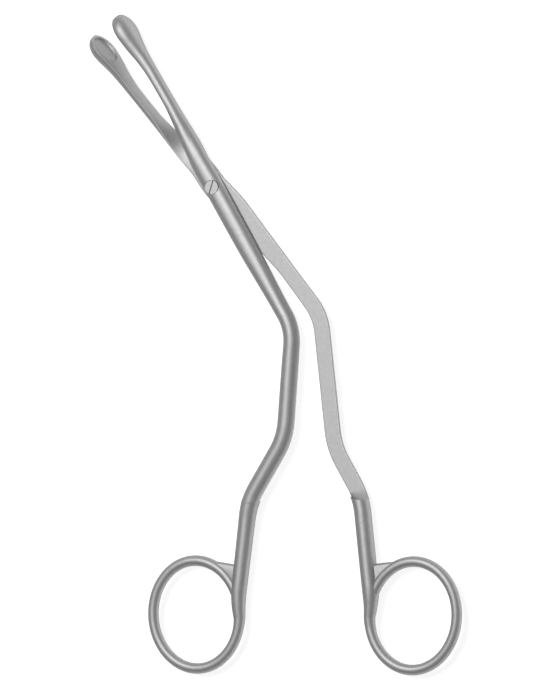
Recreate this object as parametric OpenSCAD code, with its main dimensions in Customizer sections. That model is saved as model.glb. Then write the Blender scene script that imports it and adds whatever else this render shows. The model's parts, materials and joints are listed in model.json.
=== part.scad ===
// Septum compression forceps: two forged levers that cross at a lap joint, held by one slotted screw.
// Everything is drawn about the screw: x and y lie in the opening plane, z runs along the screw and
// the plane between the two halves of the lap joint is z = 0. Each lever is drawn in its own closed
// frame, where +y runs up the closing plane to the jaws, and is then turned to where it rests.

/* [Pose] */
// Angle of the front lever's closing plane, left of straight up
front_tilt = 33; // [28:0.5:36]
// Angle between the two closing planes at rest
rest_opening = 8.1; // [4:0.1:14]

/* [Jaws] */
// Screw to the tip of the jaws
jaw_reach = 61; // [52:0.5:72]
// Length of a jaw's oval head
head_l = 11.2; // [9:0.1:14]
// Width of a jaw's oval head
head_w = 8.2; // [7:0.1:9.5]
// Thickness of a jaw's head at its middle
head_t = 2.9; // [2.2:0.1:3.4]
// Radius of the domed back of a jaw's head
head_dome = 9.8; // [8:0.2:14]
// Width of the flat rim around the oval hollow
rim_w = 0.9; // [0.6:0.05:1.4]
// Depth of the oval hollow at its middle
hollow_d = 1.2; // [0.6:0.1:1.5]
// Radius of the dished floor of the hollow
hollow_dish = 14; // [11:1:30]
// Turn of the jaw faces about the jaws' own length
jaw_twist = 19; // [0:1:25]

/* [Necks] */
// Width of a jaw's neck at its narrowest
neck_w = 4.1; // [3.4:0.1:4.6]
// Middle of the neck, sideways from the closing plane
neck_offset = 1.25; // [1:0.05:1.6]
// Space between a neck's flat and the closing plane
neck_gap = 0.75; // [0.4:0.05:1.2]

/* [Lap joint] */
// Width of the front lever at the screw
front_lock_w = 6.4; // [6:0.1:8]
// Width of the rear lever at the screw
rear_lock_w = 7.8; // [6.4:0.1:9]
// Length below the screw over which the front lever keeps its width
front_lock_l = 22; // [16:1:28]
// Length below the screw over which the rear lever keeps its width
rear_lock_l = 8; // [6:1:14]
// Thickness of one half of the lap joint
lock_t = 2.8; // [2.7:0.1:3.2]
// Running gap between the two halves
lap_gap = 0.05; // [0.02:0.01:0.1]
// Screw to the place where a neck has its full height
crossing = 31; // [29:0.5:34]

/* [Joint screw] */
// Diameter of the screw's plain shank in the front lever
pin_d = 3; // [2.4:0.1:3.2]
// Diameter of the screw's thread in the rear lever
thread_d = 2.6; // [2:0.1:2.9]
// Diameter of the screw's head
screw_head_d = 4.2; // [3.8:0.1:4.6]
// Thickness of the screw's head
screw_head_t = 0.9; // [0.7:0.05:1.2]
// Running clearance around the screw, on the radius
screw_clearance = 0.05; // [0.02:0.01:0.1]
// Width of the driver's slot
slot_w = 0.6; // [0.4:0.1:1]
// Depth of the driver's slot
slot_d = 0.45; // [0.3:0.05:0.6]
// Turn of the slot, right of straight up
slot_turn = 18; // [0:5:90]

/* [Shanks] */
// Width of the front lever's shank
front_shank_w = 5.4; // [4.4:0.1:5.4]
// Width of the rear lever's shank
rear_shank_w = 5.1; // [4.2:0.1:5.4]
// Screw to the place where the front lever is down to its shank's width
front_shank_start = 40; // [34:1:42]
// Screw to the place where the rear lever is down to its shank's width
rear_shank_start = 32; // [26:1:42]
// Middle of the front shank at its start, sideways from the closing plane
front_shank_offset = 1.2; // [0.6:0.1:2]
// Middle of the rear shank at its start, sideways from the closing plane
rear_shank_offset = 1.5; // [0.6:0.1:2]
// Middle of the front shank at its first bend, sideways from the closing plane
front_bend_offset = 1.5; // [0.6:0.1:2]
// Middle of the rear shank at its first bend, sideways from the closing plane
rear_bend_offset = 0.8; // [0.6:0.1:2]
// Screw to the front lever's first bend
front_lock_run = 49.7; // [48:0.1:56]
// Screw to the rear lever's first bend
rear_lock_run = 51.7; // [48:0.1:56]
// Turn of both handles away from the jaws' line, at the first bend
handle_bend = 36; // [25:1:40]
// Angle of each grip run off the handles' middle line
grip_splay = 1.5; // [0:0.1:3]
// First bend to second bend, front lever
front_grip_run = 32.7; // [28:0.1:40]
// First bend to second bend, rear lever
rear_grip_run = 39.6; // [34:0.1:46]
// Outward turn of the front lever's flare, off the handles' middle line
front_flare = 29.1; // [22:0.1:32]
// Outward turn of the rear lever's flare, off the handles' middle line
rear_flare = 25.8; // [20:0.1:30]
// Second bend to third bend, front lever
front_flare_run = 22.6; // [19:0.1:27]
// Second bend to third bend, rear lever
rear_flare_run = 17.6; // [14:0.1:21]
// Outward angle of the front lever's last run, off the handles' middle line
front_end_splay = 4.2; // [0:0.1:6]
// Outward angle of the rear lever's last run, off the handles' middle line
rear_end_splay = 1.2; // [0:0.1:6]
// Third bend to the place where the shank's middle line meets the ring's, front lever
front_ring_run = 29.9; // [26:0.1:36]
// Third bend to the place where the shank's middle line meets the ring's, rear lever
rear_ring_run = 30.8; // [26:0.1:36]
// Length of leg that a bend's curve takes on either side
bend_leg = 6; // [3:0.5:7]

/* [Finger rings] */
// Width of the opening in a finger ring
ring_inner_w = 25.4; // [22:0.2:28]
// Length of the opening in a finger ring
ring_inner_l = 29.2; // [27:0.2:34]
// Diameter of the round bar of a finger ring
ring_bar = 3.2; // [2.6:0.1:4]
// Angle up the ring's side at which the shank meets it
ring_join = 12; // [8:1:20]
// Lean of the front lever's ring, left of straight up
front_ring_lean = 3.7; // [0:0.1:8]
// Lean of the rear lever's ring, right of straight up
rear_ring_lean = 5; // [0:0.1:8]

/* [Hidden] */
$fn = 64;

// A knuckle is a ball a little thicker than the bars that meet in it.
knuckle = 1.015;
// Larger than any section of a lever, for the tools that cut it.
clear = 12;
rear_tilt = front_tilt + rest_opening;
half_gap = lap_gap / 2;

// Places along the jaw side, measured from the screw along the closing plane.
head_mid = jaw_reach - head_l / 2;
head_root = head_mid - head_l / 2 - 1.2;
neck_mid = (crossing + head_root) / 2;
crossing_mid = crossing * 0.58;
flank_low = crossing * 0.68;
flank_slope = 0.14;
edge_low = crossing * 0.3;
edge_slope = 0.175;

// Finger ring: the oval middle line of its bar, and where the shank meets it.
ring_a = (ring_inner_w + ring_bar) / 2;
ring_b = (ring_inner_l + ring_bar) / 2;
join_x = ring_a * cos(ring_join);
join_y = ring_b * sin(ring_join);

// A step down the lever, turned by an angle towards +x.
function step(from, angle, run) = [from.x + run * sin(angle), from.y - run * cos(angle)];
function turn(p, angle) = [p.x * cos(angle) - p.y * sin(angle), p.x * sin(angle) + p.y * cos(angle)];
function toward(p, q, run) = p + (q - p) * run / norm(q - p);

// The curve through one bend, from a point on one leg to a point on the other.
function bend(before, corner, after, r) =
    let (a = toward(corner, before, bend_leg), b = toward(corner, after, bend_leg))
    [for (i = [0:3]) let (t = i / 3, q = a * (1 - t) ^ 2 + corner * 2 * t * (1 - t) + b * t ^ 2) [q.x, q.y, r]];

// The middle line of a shank, from the lap joint to the side of its finger ring.
function corners(start, first, grip, grip_run, flare, flare_run, last, ring_run) =
    let (
        second = step(first, grip, grip_run),
        third = step(second, flare, flare_run),
        ring = step(third, last, ring_run)
    )
    [start, first, second, third, ring];

front_corners = corners(
    [-front_shank_offset, -front_shank_start], [-front_bend_offset, -front_lock_run],
    -handle_bend - grip_splay, front_grip_run, -handle_bend - front_flare, front_flare_run,
    -handle_bend - front_end_splay, front_ring_run);
rear_corners = corners(
    [rear_shank_offset, -rear_shank_start], [rear_bend_offset, -rear_lock_run],
    -handle_bend + grip_splay, rear_grip_run, -handle_bend + rear_flare, rear_flare_run,
    -handle_bend + rear_end_splay, rear_ring_run);

function shank_path(c, lock_w, lock_l, shank_w) = concat(
    [[0, 2, lock_w / 2 * knuckle], [c[0].x * 0.6, -lock_l, lock_w / 2 * 0.97], [c[0].x, c[0].y, shank_w / 2]],
    bend(c[0], c[1], c[2], shank_w / 2),
    bend(c[1], c[2], c[3], shank_w / 2),
    bend(c[2], c[3], c[4], shank_w * 0.47),
    [[c[4].x, c[4].y, ring_bar * 0.45]]);

// The origin: the middle of the outline seen from above, at the level of the lowest point.
jaw_side_reach = jaw_reach * 0.98;
front_ring_mid = turn(front_corners[4], front_tilt) + turn([-join_x, -join_y], front_ring_lean);
rear_ring_mid = turn(rear_corners[4], rear_tilt) + turn([join_x, -join_y], -rear_ring_lean);
x_low = -jaw_side_reach * sin(rear_tilt) - 1.8;
x_high = rear_ring_mid.x + ring_a + ring_bar / 2;
y_high = jaw_side_reach * cos(front_tilt) + 1.47;
y_low = min(front_ring_mid.y, rear_ring_mid.y) - ring_b - ring_bar / 2;
z_low = -head_w / 2 * cos(jaw_twist) - head_t * 0.688 * sin(jaw_twist);
origin = [(x_low + x_high) / 2, (y_low + y_high) / 2, z_low];

// A round bar through points [x, y, radius] in the plane z = 0.
module bar(points) {
    for (i = [0:len(points) - 2]) {
        p = points[i];
        q = points[i + 1];
        run = norm([q.x - p.x, q.y - p.y]);
        translate([p.x, p.y, 0])
            rotate([0, 90, atan2(q.y - p.y, q.x - p.x)])
                cylinder(h = run, r1 = p.z, r2 = q.z);
        if (i > 0)
            translate([p.x, p.y, 0])
                sphere(r = p.z * knuckle);
    }
}

// The space on one side of the lap plane along a path, which ends in a round run-out.
module lap_cut(path, side) {
    translate([0, 0, side > 0 ? half_gap - clear : -half_gap])
        linear_extrude(clear)
            for (i = [0:len(path) - 2]) {
                p = path[i];
                q = path[i + 1];
                translate(p)
                    rotate(atan2(q.y - p.y, q.x - p.x))
                        translate([0, -clear / 2])
                            square([norm(q - p), clear]);
                translate(q)
                    circle(clear / 2);
            }
}

// A finger ring about its own middle, with a lean to the left.
module finger_ring(lean) {
    rotate([0, 0, lean])
        scale([1, ring_b / ring_a, 1])
            rotate_extrude()
                translate([ring_a, 0])
                    circle(d = ring_bar);
}

// An oval as [along, across] points.
function oval(l, w, from, to) =
    [for (i = [0:32]) let (a = from + (to - from) * i / 32) [l / 2 * cos(a), w / 2 * sin(a)]];

// Lays a flat outline [along, across] in the closing plane and gives it a thickness away from it.
module on_closing_plane(thickness) {
    rotate([90, 0, 90])
        linear_extrude(thickness)
            children();
}

// Head of the jaw on the +x side of the closing plane, with its hollow.
module jaw_head() {
    difference() {
        intersection() {
            on_closing_plane(head_t)
                polygon(concat(
                    [for (p = oval(head_l, head_w, -105, 105)) [p.x + head_mid, p.y]],
                    [[neck_mid, neck_w / 2], [neck_mid, -neck_w / 2]]));
            union() {
                translate([head_t - head_dome, head_mid, 0])
                    sphere(r = head_dome);
                bar([
                    [neck_offset, neck_mid, neck_w / 2],
                    [0.2, head_root + 1, head_w * 0.42],
                    [0, head_mid - 1, head_w * 0.44]]);
            }
        }
        translate([-0.01, 0, 0])
            intersection() {
                on_closing_plane(hollow_d * 2)
                    translate([head_mid, 0])
                        polygon(oval(head_l - 2 * rim_w, head_w - 2 * rim_w, 0, 360 * 32 / 33));
                translate([hollow_d - hollow_dish, head_mid, 0])
                    sphere(r = hollow_dish);
            }
    }
}

// Jaw, neck and crossing on the +x side, whose half of the lap joint is the one above z = 0.
module jaw_side(lock_w) {
    difference() {
        union() {
            bar([
                [0, 0, lock_w / 2],
                [0.5, crossing_mid, neck_w * 0.58],
                [neck_offset, crossing, neck_w * 0.52]]);
            rotate([0, -jaw_twist, 0])
                bar([
                    [neck_offset, crossing - 1.5, neck_w * 0.52],
                    [neck_offset, crossing, neck_w * 0.52],
                    [neck_offset, neck_mid, neck_w * 0.54],
                    [neck_offset * 0.9, head_root + 1, neck_w * 0.64]]);
        }
        // The flat that faces the other neck.
        rotate([0, -jaw_twist, 0])
            translate([neck_gap - clear, crossing, -clear / 2])
                cube([clear, jaw_reach, clear]);
        // Below the lap plane only the flank beyond the other lever's half is left, above a shoulder.
        translate([0, 0, -clear + half_gap])
            linear_extrude(clear)
                polygon([
                    [-clear, -clear], [clear, -clear], [clear, flank_low],
                    [neck_gap + (crossing - flank_low) * flank_slope, flank_low],
                    [neck_gap, crossing + 0.05], [-clear, crossing + 0.05]]);
        // Above it the inner edge runs from the neck's flat over the other lever.
        linear_extrude(clear)
            polygon([
                [neck_gap, crossing + 0.05], [neck_gap - (crossing - edge_low) * edge_slope, edge_low],
                [-clear, edge_low], [-clear, crossing + 0.05]]);
    }
    rotate([0, -jaw_twist, 0])
        jaw_head();
}

// The hole for the screw: a plain bore and a seat for the head.
module screw_bore() {
    translate([0, 0, -clear])
        cylinder(h = 2 * clear, d = pin_d + 2 * screw_clearance);
    translate([0, 0, lock_t - screw_head_t - screw_clearance])
        cylinder(h = clear, d = screw_head_d + 2 * screw_clearance);
}

module front_lever() {
    color("gainsboro")
        translate(-origin)
            rotate([0, 0, front_tilt])
                difference() {
                    union() {
                        jaw_side(front_lock_w);
                        difference() {
                            union() {
                                bar(shank_path(front_corners, front_lock_w, front_lock_l, front_shank_w));
                                translate([front_corners[4].x, front_corners[4].y, 0])
                                    rotate([0, 0, -front_tilt])
                                        translate(concat(turn([-join_x, -join_y], front_ring_lean), [0]))
                                            finger_ring(front_ring_lean);
                            }
                            lap_cut(lap_path(front_corners), 1);
                        }
                    }
                    translate([-clear, -front_shank_start, lock_t])
                        cube([2 * clear, front_shank_start + crossing_mid, clear]);
                    screw_bore();
                }
}

module rear_lever() {
    color("silver")
        translate(-origin)
            rotate([0, 0, rear_tilt])
                difference() {
                    union() {
                        rotate([0, 180, 0])
                            jaw_side(rear_lock_w);
                        difference() {
                            union() {
                                bar(shank_path(rear_corners, rear_lock_w, rear_lock_l, rear_shank_w));
                                translate([rear_corners[4].x, rear_corners[4].y, 0])
                                    rotate([0, 0, -rear_tilt])
                                        translate(concat(turn([join_x, -join_y], -rear_ring_lean), [0]))
                                            finger_ring(-rear_ring_lean);
                            }
                            lap_cut(lap_path(rear_corners), -1);
                        }
                    }
                    translate([-clear, -rear_shank_start, -lock_t - clear])
                        cube([2 * clear, rear_shank_start + crossing_mid, clear]);
                    translate([0, 0, -clear])
                        cylinder(h = 2 * clear, d = thread_d);
                }
}

// The lap plane runs from above the joint to a round end just above the third bend.
function lap_path(c) = [[0, clear], c[1], c[2], toward(c[3], c[2], clear / 2)];

module joint_screw() {
    color("darkgray")
        translate(-origin)
            difference() {
                union() {
                    translate([0, 0, -lock_t])
                        cylinder(h = lock_t, d = thread_d);
                    cylinder(h = lock_t - screw_head_t / 2, d = pin_d);
                    translate([0, 0, lock_t - screw_head_t])
                        cylinder(h = screw_head_t, d = screw_head_d);
                }
                translate([0, 0, lock_t - slot_d])
                    rotate([0, 0, -slot_turn])
                        translate([-slot_w / 2, -screw_head_d, 0])
                            cube([slot_w, 2 * screw_head_d, lock_t]);
            }
}

front_lever();
rear_lever();
joint_screw();
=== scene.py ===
"""Septum compression forceps: smooth satin steel levers, their screw, a pale floor, soft light and the camera."""

import json
import math

import bmesh
import bpy
from mathutils import Matrix, Vector


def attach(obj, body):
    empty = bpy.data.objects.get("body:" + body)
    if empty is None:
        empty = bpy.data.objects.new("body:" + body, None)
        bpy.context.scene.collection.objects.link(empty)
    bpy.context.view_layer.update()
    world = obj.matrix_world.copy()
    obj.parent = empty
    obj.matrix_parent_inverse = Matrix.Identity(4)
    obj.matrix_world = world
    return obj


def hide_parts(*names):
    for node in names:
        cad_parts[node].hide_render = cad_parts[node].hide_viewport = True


MM = 0.001

# The levers' shape, in millimetres about the screw, as in the part's source.
FRONT_TILT = 33.0
REST_OPENING = 8.1
JAW_REACH = 61.0
HEAD_L = 11.2
HEAD_W = 8.2
RIM_W = 0.9
HOLLOW_D = 1.2
JAW_TWIST = 19.0
CROSSING = 31.0
NECK_W = 4.2
NECK_GAP = 0.75
FRONT_LOCK_W = 6.4
REAR_LOCK_W = 7.8
FRONT_LOCK_L = 22.0
REAR_LOCK_L = 8.0
LOCK_T = 2.8
LAP_GAP = 0.05
PIN_D = 3.0
SCREW_HEAD_D = 4.2
SCREW_HEAD_T = 0.9
FRONT_SHANK_W = 5.4
REAR_SHANK_W = 5.1
FRONT_SHANK_START = Vector((-1.2, -40.0))
REAR_SHANK_START = Vector((1.5, -32.0))
FRONT_FIRST_BEND = Vector((-1.5, -49.7))
REAR_FIRST_BEND = Vector((0.8, -51.7))
HANDLE_BEND = 36.0
GRIP_SPLAY = 1.5
FRONT_GRIP_RUN = 32.7
REAR_GRIP_RUN = 39.6
FRONT_FLARE = 29.1
REAR_FLARE = 25.8
FRONT_FLARE_RUN = 22.6
REAR_FLARE_RUN = 17.6
FRONT_END_SPLAY = 4.2
REAR_END_SPLAY = 1.2
FRONT_RING_RUN = 29.9
REAR_RING_RUN = 30.8
BEND_LEG = 5.0
LOCK_LEG = 3.0
JOIN_LEG = 4.3
RING_INNER_W = 25.4
RING_INNER_L = 29.2
RING_BAR = 3.2
RING_JOIN = 12
FRONT_RING_LEAN = 3.7
REAR_RING_LEAN = 5.0

RING_A = (RING_INNER_W + RING_BAR) / 2
RING_B = (RING_INNER_L + RING_BAR) / 2
HEAD_MID = JAW_REACH - HEAD_L / 2
HEAD_T = 3.8
TIP_T = 1.1
NECK_T = 2.5
EDGE_R = 0.22
# Radius of the round bar from the third bend to its end in the ring, by the share of its length.
FRONT_TAPER = [(0.0, 2.66), (0.25, 2.5), (0.45, 2.4), (0.62, 2.34), (0.7, 2.2), (0.76, 2.0), (0.86, 1.66), (1.0, 1.5)]
REAR_TAPER = [(0.0, 2.55), (0.6, 2.55), (0.68, 2.4), (0.75, 2.05), (0.84, 1.7), (1.0, 1.5)]
PITCH = 0.6
# The run-out of a shank's flat: its radius, and its middle off the third bend, across and along the shank.
RUN_OUT_R = 6.6
RUN_OUT_ACROSS = 4.1
RUN_OUT_ALONG = -4.3
RUN_OUT_LEAST = 1.5
RUN_OUT_FADE = 14
# The flat dips a little before its round end.
RUN_OUT_DIP = 0.3
RUN_OUT_DIP_STEPS = 8
# The web in the corner of shank and ring: its start above the join, its end up the ring, and its radius.
WEB_START = 9.5
WEB_END = 72
WEB_R = 1.05

# The photograph: millimetres a pixel, the pixel of the screw's axis at the lap plane, and the frame.
MM_PER_PIXEL = 0.3
PIVOT_PIXEL = (215.3, 187.4)
FRAME_PIXELS = (550, 688)
CAMERA_TILT = 25.0
CAMERA_DISTANCE = 5.0


def mix(a, b, t):
    return a + (b - a) * t


def along(x, stops):
    """A value read off a smooth curve through (place, value) stops."""
    if x <= stops[0][0]:
        return stops[0][1]
    if x >= stops[-1][0]:
        return stops[-1][1]
    i = max(k for k in range(len(stops) - 1) if stops[k][0] <= x)
    slopes = []
    for k in (i, i + 1):
        if k in (0, len(stops) - 1):
            slopes.append(0.0)
        else:
            (x0, v0), (x1, v1) = stops[k - 1], stops[k + 1]
            slopes.append((v1 - v0) / (x1 - x0))
    (x0, v0), (x1, v1) = stops[i], stops[i + 1]
    run = x1 - x0
    t = (x - x0) / run
    return (
        v0 * (1 + 2 * t) * (1 - t) ** 2 + v1 * t * t * (3 - 2 * t)
        + slopes[0] * run * t * (1 - t) ** 2 - slopes[1] * run * t * t * (1 - t)
    )


def step(start, angle, run):
    a = math.radians(angle)
    return start + Vector((math.sin(a), -math.cos(a))) * run


def turned(p, angle):
    a = math.radians(angle)
    return Vector((p.x * math.cos(a) - p.y * math.sin(a), p.x * math.sin(a) + p.y * math.cos(a)))


def on_oval(angle):
    """A point of a finger ring's middle line, about the ring's own middle."""
    a = math.radians(angle)
    return Vector((RING_A * math.cos(a), RING_B * math.sin(a)))


def bends(first, grip, grip_run, flare, flare_run, last, ring_run):
    """The shank's three bends and the place where it meets the ring."""
    second = step(first, grip, grip_run)
    third = step(second, flare, flare_run)
    return [first, second, third, step(third, last, ring_run)]


def rounded(points, legs):
    """Close points along a line whose corners are rounded, each with its own length of leg."""
    line = [points[0]]
    for before, corner, after, leg in zip(points, points[1:], points[2:], legs):
        a = corner + (before - corner).normalized() * leg
        b = corner + (after - corner).normalized() * leg
        for i in range(17):
            t = i / 16
            line.append(a * (1 - t) ** 2 + corner * 2 * t * (1 - t) + b * t * t)
    line.append(points[-1])
    close = []
    for a, b in zip(line, line[1:]):
        count = max(1, math.ceil((b - a).length / PITCH))
        close += [a.lerp(b, i / count) for i in range(count)]
    return close + [line[-1]]


def loft(mesh, rings):
    """Skins a row of closed rings of points and caps both ends."""
    rows = [[mesh.verts.new(p) for p in ring] for ring in rings]
    for row, after in zip(rows, rows[1:]):
        for i in range(len(row)):
            k = (i + 1) % len(row)
            mesh.faces.new((row[i], row[k], after[k], after[i]))
    mesh.faces.new(reversed(rows[0]))
    mesh.faces.new(rows[-1])


def half_section(gap, height, half_width, boxy, shift):
    """A flat with a rounded back and eased edges, as (out of the flat, along the flat) points."""
    r = min(EDGE_R, half_width * 0.5, height * 0.3)
    points = []
    for i in range(49):
        a = math.pi * i / 48
        out = gap + r + (height - r) * math.sin(a) ** boxy
        points.append((out, half_width * math.copysign(abs(math.cos(a)) ** boxy, math.cos(a))))
    for i in range(1, 5):
        a = math.radians(22.5 * i)
        points.append((gap + r - r * math.sin(a), -half_width + r - r * math.cos(a)))
    inner = half_width - r
    points += [(gap, -inner + 2 * inner * i / 16) for i in range(1, 16)]
    for i in range(4):
        a = math.radians(22.5 * i)
        points.append((gap + r - r * math.cos(a), inner + r * math.sin(a)))
    return [(out, w + shift) for out, w in points]


def placed(section, middle, side, out):
    """A section's points in space: middle is its place, side and out are its two directions."""
    return [middle + out * n + side * w for n, w in section]


def jaw_ring(s, lock_w):
    """Ring of points of the jaw side: its flat turns from the lap plane to the jaw's face."""
    spare = lock_w / 2 - 3.2
    turn = along(s, [(7.0, 90.0), (12.0, 81.0), (26.0, 28.0), (CROSSING, JAW_TWIST)])
    gap = along(s, [
        (10.0, LAP_GAP / 2), (16.0, 0.1), (21.4, 0.4), (27.0, 0.7), (CROSSING, NECK_GAP), (40.0, NECK_GAP),
        (45.0, 0.42), (48.5, 0.1), (51.0, 0.0)])
    wide = along(s, [
        (0.0, lock_w / 2), (3.0, lock_w / 2), (8.0, 3.06 + spare * 0.72), (12.5, 2.86 + spare * 0.1),
        (16.3, 2.66), (21.4, 2.36), (27.0, 2.16), (CROSSING, NECK_W / 2), (40.0, NECK_W / 2),
        (45.0, 2.4), (48.0, 2.85), (51.0, 3.45), (HEAD_MID, HEAD_W / 2)])
    height = along(s, [
        (0.0, LOCK_T), (9.0, LOCK_T - 0.05), (20.0, 2.6), (CROSSING, NECK_T), (40.0, 2.6),
        (46.0, 3.05), (50.0, 3.45), (HEAD_MID, HEAD_T)])
    shift = along(s, [
        (0.0, 0.0), (8.0, 0.1 - spare * 0.55), (12.5, 0.35 - spare * 0.1), (16.3, 0.5), (21.4, 0.45),
        (27.0, 0.1), (CROSSING, 0.0)])
    boxy = along(s, [(0.0, 0.9), (14.0, 0.9), (30.0, 0.9), (42.0, 0.9), (50.0, 0.88), (HEAD_MID, 0.86)])
    reach = (s - HEAD_MID) / (HEAD_L / 2)
    if reach > 0:
        crown = math.sqrt(max(1 - reach * reach, 0.0))
        wide = max(HEAD_W / 2 * crown, 0.01)
        height = mix(TIP_T, HEAD_T, crown ** 0.75)
    a = math.radians(turn)
    out = Vector((math.cos(a), 0.0, math.sin(a)))
    side = Vector((-math.sin(a), 0.0, math.cos(a)))
    return placed(half_section(gap, height, wide, boxy, -shift), Vector((0.0, s, 0.0)), side, out)


def across(line, i):
    """The direction across a line in its plane, at one of its points."""
    ahead = line[min(i + 1, len(line) - 1)] - line[max(i - 1, 0)]
    return Vector((ahead.y, -ahead.x, 0.0)).normalized()


def spot(line, u):
    """The place on a line at a fractional index, and the direction across it."""
    i = min(max(int(u), 0), len(line) - 2)
    p = line[i].lerp(line[i + 1], u - i)
    return Vector((p.x, p.y, 0.0)), across(line, i).lerp(across(line, i + 1), u - i)


def run_out(w, steps):
    """How many steps along the shank the round end of its flat draws a point that lies w across it."""
    deep = math.sqrt(max(RUN_OUT_R ** 2 - (w - RUN_OUT_ACROSS) ** 2, RUN_OUT_LEAST ** 2))
    return (RUN_OUT_ALONG + deep) / PITCH * max(0.0, 1 - abs(steps) / RUN_OUT_FADE)


def full_section(section, radius):
    """The same points as a half section's, with the flat swelled out to a round bar's other half."""
    back = len(section) - 23
    other = [(-math.sqrt(max(radius ** 2 - w * w, 0.0)), w) for out, w in section[back:]]
    return section[:back] + other


def shank_rings(line, third, lock_w, lock_l, start_l, shank_w, taper):
    """Rings of points down the shank: half round from the screw to the third bend, then fully round."""
    rings = []
    r = shank_w / 2
    for i, p in enumerate(line):
        wide = along(-p.y, [
            (0.0, lock_w / 2), (lock_l, lock_w / 2 * 0.97), (start_l, r * 0.96), (start_l + 8, r * 0.95),
            (start_l + 22, r)])
        height = along(-p.y, [(0.0, LOCK_T), (lock_l, LOCK_T * 0.98), (start_l, r * 0.97), (start_l + 22, r)])
        boxy = along(-p.y, [(0.0, 0.9), (lock_l, 0.92), (start_l, 0.98), (start_l + 8, 1.0)])
        if i >= third:
            wide = height = along((i - third) / (len(line) - 1 - third), taper)
        dip = RUN_OUT_DIP * max(0.0, 1 - abs(i - third) / RUN_OUT_DIP_STEPS) ** 1.5 * (i <= third)
        half = half_section(LAP_GAP / 2 + dip, height - dip, wide, boxy, 0.0)
        full = full_section(half, wide)
        sections = [half, full] if i == third else [half if i < third else full]
        for section in sections:
            ring = []
            for out, w in section:
                middle, side = spot(line, i + run_out(w, i - third))
                ring.append(middle + side * w + Vector((0.0, 0.0, out)))
            rings.append(ring)
    return rings


def web_rings(above, middle, lean):
    """Rings of points of the web that fills the corner between the shank and the ring's upper arc."""
    rings = []
    far = middle + turned(on_oval(WEB_END), lean)
    for i in range(24):
        t = i / 24
        inner = middle + turned(on_oval(mix(RING_JOIN, WEB_END, t)), lean)
        outer = above.lerp(far, t)
        away = (outer - inner).normalized()
        ring = []
        for k in range(32):
            b = 2 * math.pi * (k + 0.5) / 32
            p = (outer if math.cos(b) > 0 else inner) + away * WEB_R * math.cos(b)
            ring.append(Vector((p.x, p.y, WEB_R * math.sin(b))))
        rings.append(ring)
    return rings


def ring_mesh(mesh, middle, lean):
    """An oval finger ring of round bar."""
    rows = []
    for i in range(144):
        angle = 2.5 * i
        a = math.radians(angle)
        out = Vector((RING_B * math.cos(a), RING_A * math.sin(a))).normalized()
        row = []
        for k in range(32):
            b = 2 * math.pi * k / 32
            q = turned(on_oval(angle) + out * RING_BAR / 2 * math.cos(b), lean) + middle
            row.append(mesh.verts.new((q.x, q.y, RING_BAR / 2 * math.sin(b))))
        rows.append(row)
    for row, after in zip(rows, rows[1:] + rows[:1]):
        for k in range(32):
            j = (k + 1) % 32
            mesh.faces.new((row[k], row[j], after[j], after[k]))


def new_object(name, mesh):
    bmesh.ops.recalc_face_normals(mesh, faces=mesh.faces)
    data = bpy.data.meshes.new(name)
    mesh.to_mesh(data)
    mesh.free()
    piece = bpy.data.objects.new(name, data)
    bpy.context.scene.collection.objects.link(piece)
    return piece


def cut(piece, cutter):
    """Takes the cutter's shape out of the piece."""
    tool = piece.modifiers.new("cut", "BOOLEAN")
    tool.operation = "DIFFERENCE"
    tool.solver = "EXACT"
    tool.object = cutter
    bpy.context.view_layer.update()
    seen = piece.evaluated_get(bpy.context.evaluated_depsgraph_get())
    data = bpy.data.meshes.new_from_object(seen)
    piece.modifiers.clear()
    piece.data = data
    bpy.data.objects.remove(cutter)


def disc(name, radius, low, high, place=(0.0, 0.0)):
    mesh = bmesh.new()
    bmesh.ops.create_cone(
        mesh, cap_ends=True, segments=128, radius1=radius, radius2=radius, depth=high - low,
        matrix=Matrix.Translation((place[0], place[1], (low + high) / 2)))
    return new_object(name, mesh)


def hollow_cutter():
    """The oval hollow of a jaw's face: steep walls and a dished floor."""
    mesh = bmesh.new()
    a = math.radians(JAW_TWIST)
    out = Vector((math.cos(a), 0.0, math.sin(a)))
    side = Vector((-math.sin(a), 0.0, math.cos(a)))
    long = HEAD_L / 2 - RIM_W
    wide = HEAD_W / 2 - RIM_W
    rings = []
    for size, depth in [
            (1.03, -1.0), (1.03, 0.0), (1.0, 0.05), (0.985, 0.15), (0.97, 0.5), (0.94, 0.7), (0.88, 0.82),
            (0.7, 0.95), (0.5, 1.06), (0.3, 1.15), (0.08, HOLLOW_D)]:
        ring = []
        for i in range(96):
            b = 2 * math.pi * i / 96
            place = Vector((0.0, HEAD_MID + long * size * math.cos(b), 0.0))
            ring.append(place + side * wide * size * math.sin(b) + out * depth)
        rings.append(ring)
    loft(mesh, rings)
    return new_object("hollow", mesh)


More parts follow.
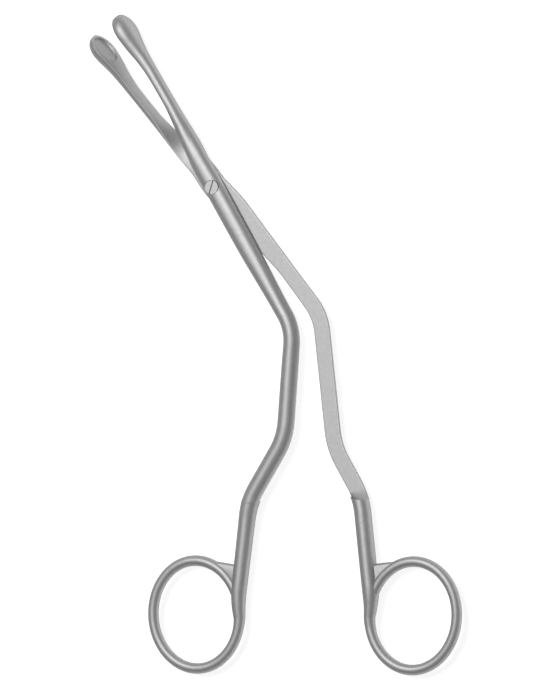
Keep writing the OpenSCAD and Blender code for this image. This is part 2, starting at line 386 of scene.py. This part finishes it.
def lever(name, lock_w, lock_l, start, shank_w, points, ring_turn, taper):
    """One lever in its closed frame, its jaw on the +x side and its flat facing down."""
    middle = points[3] - turned(on_oval(RING_JOIN), ring_turn)
    path = [Vector((0.0, 0.0)), Vector((start.x * 0.6, -lock_l)), start] + points
    path.append(middle + turned(on_oval(RING_JOIN - 18), ring_turn))
    line = rounded(path, [LOCK_LEG, LOCK_LEG, BEND_LEG, BEND_LEG, BEND_LEG, JOIN_LEG])
    line += [middle + turned(on_oval(RING_JOIN - i), ring_turn) for i in range(20, 49, 2)]
    third = min(range(len(line)), key=lambda i: (line[i] - points[2]).length)

    mesh = bmesh.new()
    tip = [HEAD_MID + HEAD_L / 2 * math.sin(math.radians(2.5 * i)) for i in range(36, 0, -1)]
    places = tip + [HEAD_MID * (1 - i / 110) for i in range(110)]
    rings = [jaw_ring(s, lock_w) for s in places]
    loft(mesh, rings + shank_rings(line, third, lock_w, lock_l, -start.y, shank_w, taper))
    piece = new_object(name, mesh)
    cut(piece, hollow_cutter())

    mesh = bmesh.new()
    mesh.from_mesh(piece.data)
    ring_mesh(mesh, middle, ring_turn)
    above = points[3] + (points[2] - points[3]).normalized() * WEB_START
    loft(mesh, web_rings(above, middle, ring_turn))
    bpy.data.objects.remove(piece)
    return new_object(name, mesh)


def put_in_place(piece, tilt, pivot, flipped):
    """Turns a lever from its closed frame to where it rests and brings it to metres."""
    place = Matrix.Translation(pivot) @ Matrix.Rotation(math.radians(tilt), 4, "Z") @ Matrix.Scale(MM, 4)
    if flipped:
        place = place @ Matrix.Rotation(math.pi, 4, "Y")
    piece.data.transform(place)
    piece.data.shade_smooth()
    piece.data.set_sharp_from_angle(angle=math.radians(38))


def steel(name, tint, rough, grain_turn):
    """Satin stainless steel: fine brushing along the bars, faint clouding and a slight change of gloss."""
    material = bpy.data.materials.new(name)
    material.use_nodes = True
    nodes = material.node_tree.nodes
    links = material.node_tree.links
    shader = nodes["Principled BSDF"]
    shader.inputs["Metallic"].default_value = 0.85
    shader.inputs["Specular Tint"].default_value = (0.05, 0.05, 0.05, 1.0)
    where = nodes.new("ShaderNodeTexCoord")
    brushing = nodes.new("ShaderNodeMapping")
    brushing.inputs["Rotation"].default_value = (0.0, 0.0, math.radians(grain_turn))
    brushing.inputs["Scale"].default_value = (6000.0, 900.0, 6000.0)
    links.new(where.outputs["Object"], brushing.inputs["Vector"])
    lines = nodes.new("ShaderNodeTexNoise")
    lines.inputs["Scale"].default_value = 1.0
    lines.inputs["Detail"].default_value = 3.0
    links.new(brushing.outputs["Vector"], lines.inputs["Vector"])
    clouds = nodes.new("ShaderNodeTexNoise")
    clouds.inputs["Scale"].default_value = 900.0
    clouds.inputs["Detail"].default_value = 6.0
    links.new(where.outputs["Object"], clouds.inputs["Vector"])
    shade = nodes.new("ShaderNodeMapRange")
    shade.inputs["To Min"].default_value = 0.86
    shade.inputs["To Max"].default_value = 1.1
    links.new(clouds.outputs["Fac"], shade.inputs["Value"])
    colour = nodes.new("ShaderNodeMix")
    colour.data_type = "RGBA"
    colour.blend_type = "MULTIPLY"
    colour.inputs[0].default_value = 1.0
    colour.inputs[6].default_value = (*tint, 1.0)
    links.new(shade.outputs["Result"], colour.inputs[7])
    links.new(colour.outputs[2], shader.inputs["Base Color"])
    gloss = nodes.new("ShaderNodeMapRange")
    gloss.inputs["To Min"].default_value = rough - 0.05
    gloss.inputs["To Max"].default_value = rough + 0.07
    links.new(lines.outputs["Fac"], gloss.inputs["Value"])
    links.new(gloss.outputs["Result"], shader.inputs["Roughness"])
    bump = nodes.new("ShaderNodeBump")
    bump.inputs["Strength"].default_value = 0.12
    bump.inputs["Distance"].default_value = 0.00002
    links.new(lines.outputs["Fac"], bump.inputs["Height"])
    links.new(bump.outputs["Normal"], shader.inputs["Normal"])
    return material


def plain(name, colour, rough, glow):
    """A plain matt surface with a little light of its own."""
    material = bpy.data.materials.new(name)
    material.use_nodes = True
    shader = material.node_tree.nodes["Principled BSDF"]
    shader.inputs["Base Color"].default_value = (*colour, 1.0)
    shader.inputs["Roughness"].default_value = rough
    shader.inputs["Emission Color"].default_value = (1.0, 1.0, 1.0, 1.0)
    shader.inputs["Emission Strength"].default_value = glow
    return material


def area_light(name, place, target, size, power):
    lamp = bpy.data.lights.new(name, "AREA")
    lamp.shape = "RECTANGLE"
    lamp.size = size[0]
    lamp.size_y = size[1]
    lamp.energy = power
    thing = bpy.data.objects.new(name, lamp)
    bpy.context.scene.collection.objects.link(thing)
    thing.location = place
    thing.rotation_euler = (Vector(target) - Vector(place)).to_track_quat("-Z", "Y").to_euler()
    return thing


def make_camera(pivot):
    """A long lens from the photograph's side, with the screw on its pixel."""
    tilt = math.radians(CAMERA_TILT)
    back = Vector((math.sin(tilt), 0.0, math.cos(tilt)))
    right = Vector((math.cos(tilt), 0.0, -math.sin(tilt)))
    up = Vector((0.0, 1.0, 0.0))
    aim = pivot + right * (FRAME_PIXELS[0] / 2 - PIVOT_PIXEL[0]) * MM_PER_PIXEL * MM
    aim -= up * (FRAME_PIXELS[1] / 2 - PIVOT_PIXEL[1]) * MM_PER_PIXEL * MM
    data = bpy.data.cameras.new("camera")
    data.sensor_fit = "VERTICAL"
    data.sensor_height = 24.0
    data.lens = data.sensor_height * CAMERA_DISTANCE / (FRAME_PIXELS[1] * MM_PER_PIXEL * MM)
    data.clip_end = 50.0
    camera = bpy.data.objects.new("camera", data)
    bpy.context.scene.collection.objects.link(camera)
    turn = Matrix((right, up, back)).transposed().to_4x4()
    camera.matrix_world = Matrix.Translation(aim + back * CAMERA_DISTANCE) @ turn
    bpy.context.scene.camera = camera


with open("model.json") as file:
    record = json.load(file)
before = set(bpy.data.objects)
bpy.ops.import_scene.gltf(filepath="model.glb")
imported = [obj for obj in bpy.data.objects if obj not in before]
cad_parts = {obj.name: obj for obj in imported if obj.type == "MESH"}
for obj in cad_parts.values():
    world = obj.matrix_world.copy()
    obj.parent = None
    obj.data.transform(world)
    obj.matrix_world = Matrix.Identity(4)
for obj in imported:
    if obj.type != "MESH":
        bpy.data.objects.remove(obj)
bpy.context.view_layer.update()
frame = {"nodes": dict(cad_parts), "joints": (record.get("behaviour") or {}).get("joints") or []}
joint = frame["joints"][0]
pivot = Vector(joint["pos_m"])
rear_tilt = FRONT_TILT + REST_OPENING

front_bends = bends(
    FRONT_FIRST_BEND, -HANDLE_BEND - GRIP_SPLAY, FRONT_GRIP_RUN, -HANDLE_BEND - FRONT_FLARE, FRONT_FLARE_RUN,
    -HANDLE_BEND - FRONT_END_SPLAY, FRONT_RING_RUN)
rear_bends = bends(
    REAR_FIRST_BEND, -HANDLE_BEND + GRIP_SPLAY, REAR_GRIP_RUN, -HANDLE_BEND + REAR_FLARE, REAR_FLARE_RUN,
    -HANDLE_BEND + REAR_END_SPLAY, REAR_RING_RUN)

front = lever(
    "front_lever_skin", FRONT_LOCK_W, FRONT_LOCK_L, FRONT_SHANK_START, FRONT_SHANK_W, front_bends,
    FRONT_RING_LEAN - FRONT_TILT, FRONT_TAPER)
cut(front, disc("bore", PIN_D / 2 + 0.05, -10, 10))
cut(front, disc("seat", SCREW_HEAD_D / 2 + 0.12, LOCK_T - SCREW_HEAD_T, 10))
put_in_place(front, FRONT_TILT, pivot, False)

# The rear lever is built as its mirror image about the closing plane and then turned over.
mirror = Matrix(((-1.0, 0.0), (0.0, 1.0)))
rear = lever(
    "rear_lever_skin", REAR_LOCK_W, REAR_LOCK_L, mirror @ REAR_SHANK_START, REAR_SHANK_W,
    [mirror @ p for p in rear_bends], REAR_RING_LEAN + rear_tilt, REAR_TAPER)
cut(rear, disc("bore", PIN_D / 2 + 0.02, -10, 10))
put_in_place(rear, rear_tilt, pivot, True)

front_steel = steel("front_steel", (0.5, 0.5, 0.495), 0.5, -FRONT_TILT)
rear_steel = steel("rear_steel", (0.5, 0.5, 0.495), 0.5, -rear_tilt)
screw_steel = steel("screw_steel", (0.48, 0.48, 0.475), 0.45, 20.0)
front.data.materials.append(front_steel)
rear.data.materials.append(rear_steel)
for piece, body, node in ((front, "front", "front_lever"), (rear, "rear", "rear_lever")):
    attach(piece, body)
    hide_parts(node)

screw = frame["nodes"]["joint_screw"]
screw.data.materials.clear()
screw.data.materials.append(screw_steel)
edge = screw.modifiers.new("edges", "BEVEL")
edge.width = 0.08 * MM
edge.segments = 2
edge.limit_method = "ANGLE"

mesh = bmesh.new()
bmesh.ops.create_grid(mesh, x_segments=1, y_segments=1, size=2.0)
floor = new_object("floor", mesh)
floor.data.materials.append(plain("floor_white", (0.7, 0.7, 0.7), 0.8, 0.7))

world = bpy.data.worlds.new("studio")
world.use_nodes = True
world.node_tree.nodes["Background"].inputs["Color"].default_value = (0.97, 0.98, 1.0, 1.0)
world.node_tree.nodes["Background"].inputs["Strength"].default_value = 0.25
bpy.context.scene.world = world
area_light("key", (-0.2, 0.35, 1.1), (0.0, 0.0, 0.0), (0.8, 0.8), 8.0)
make_camera(pivot)
bpy.context.scene.view_settings.view_transform = "Standard"
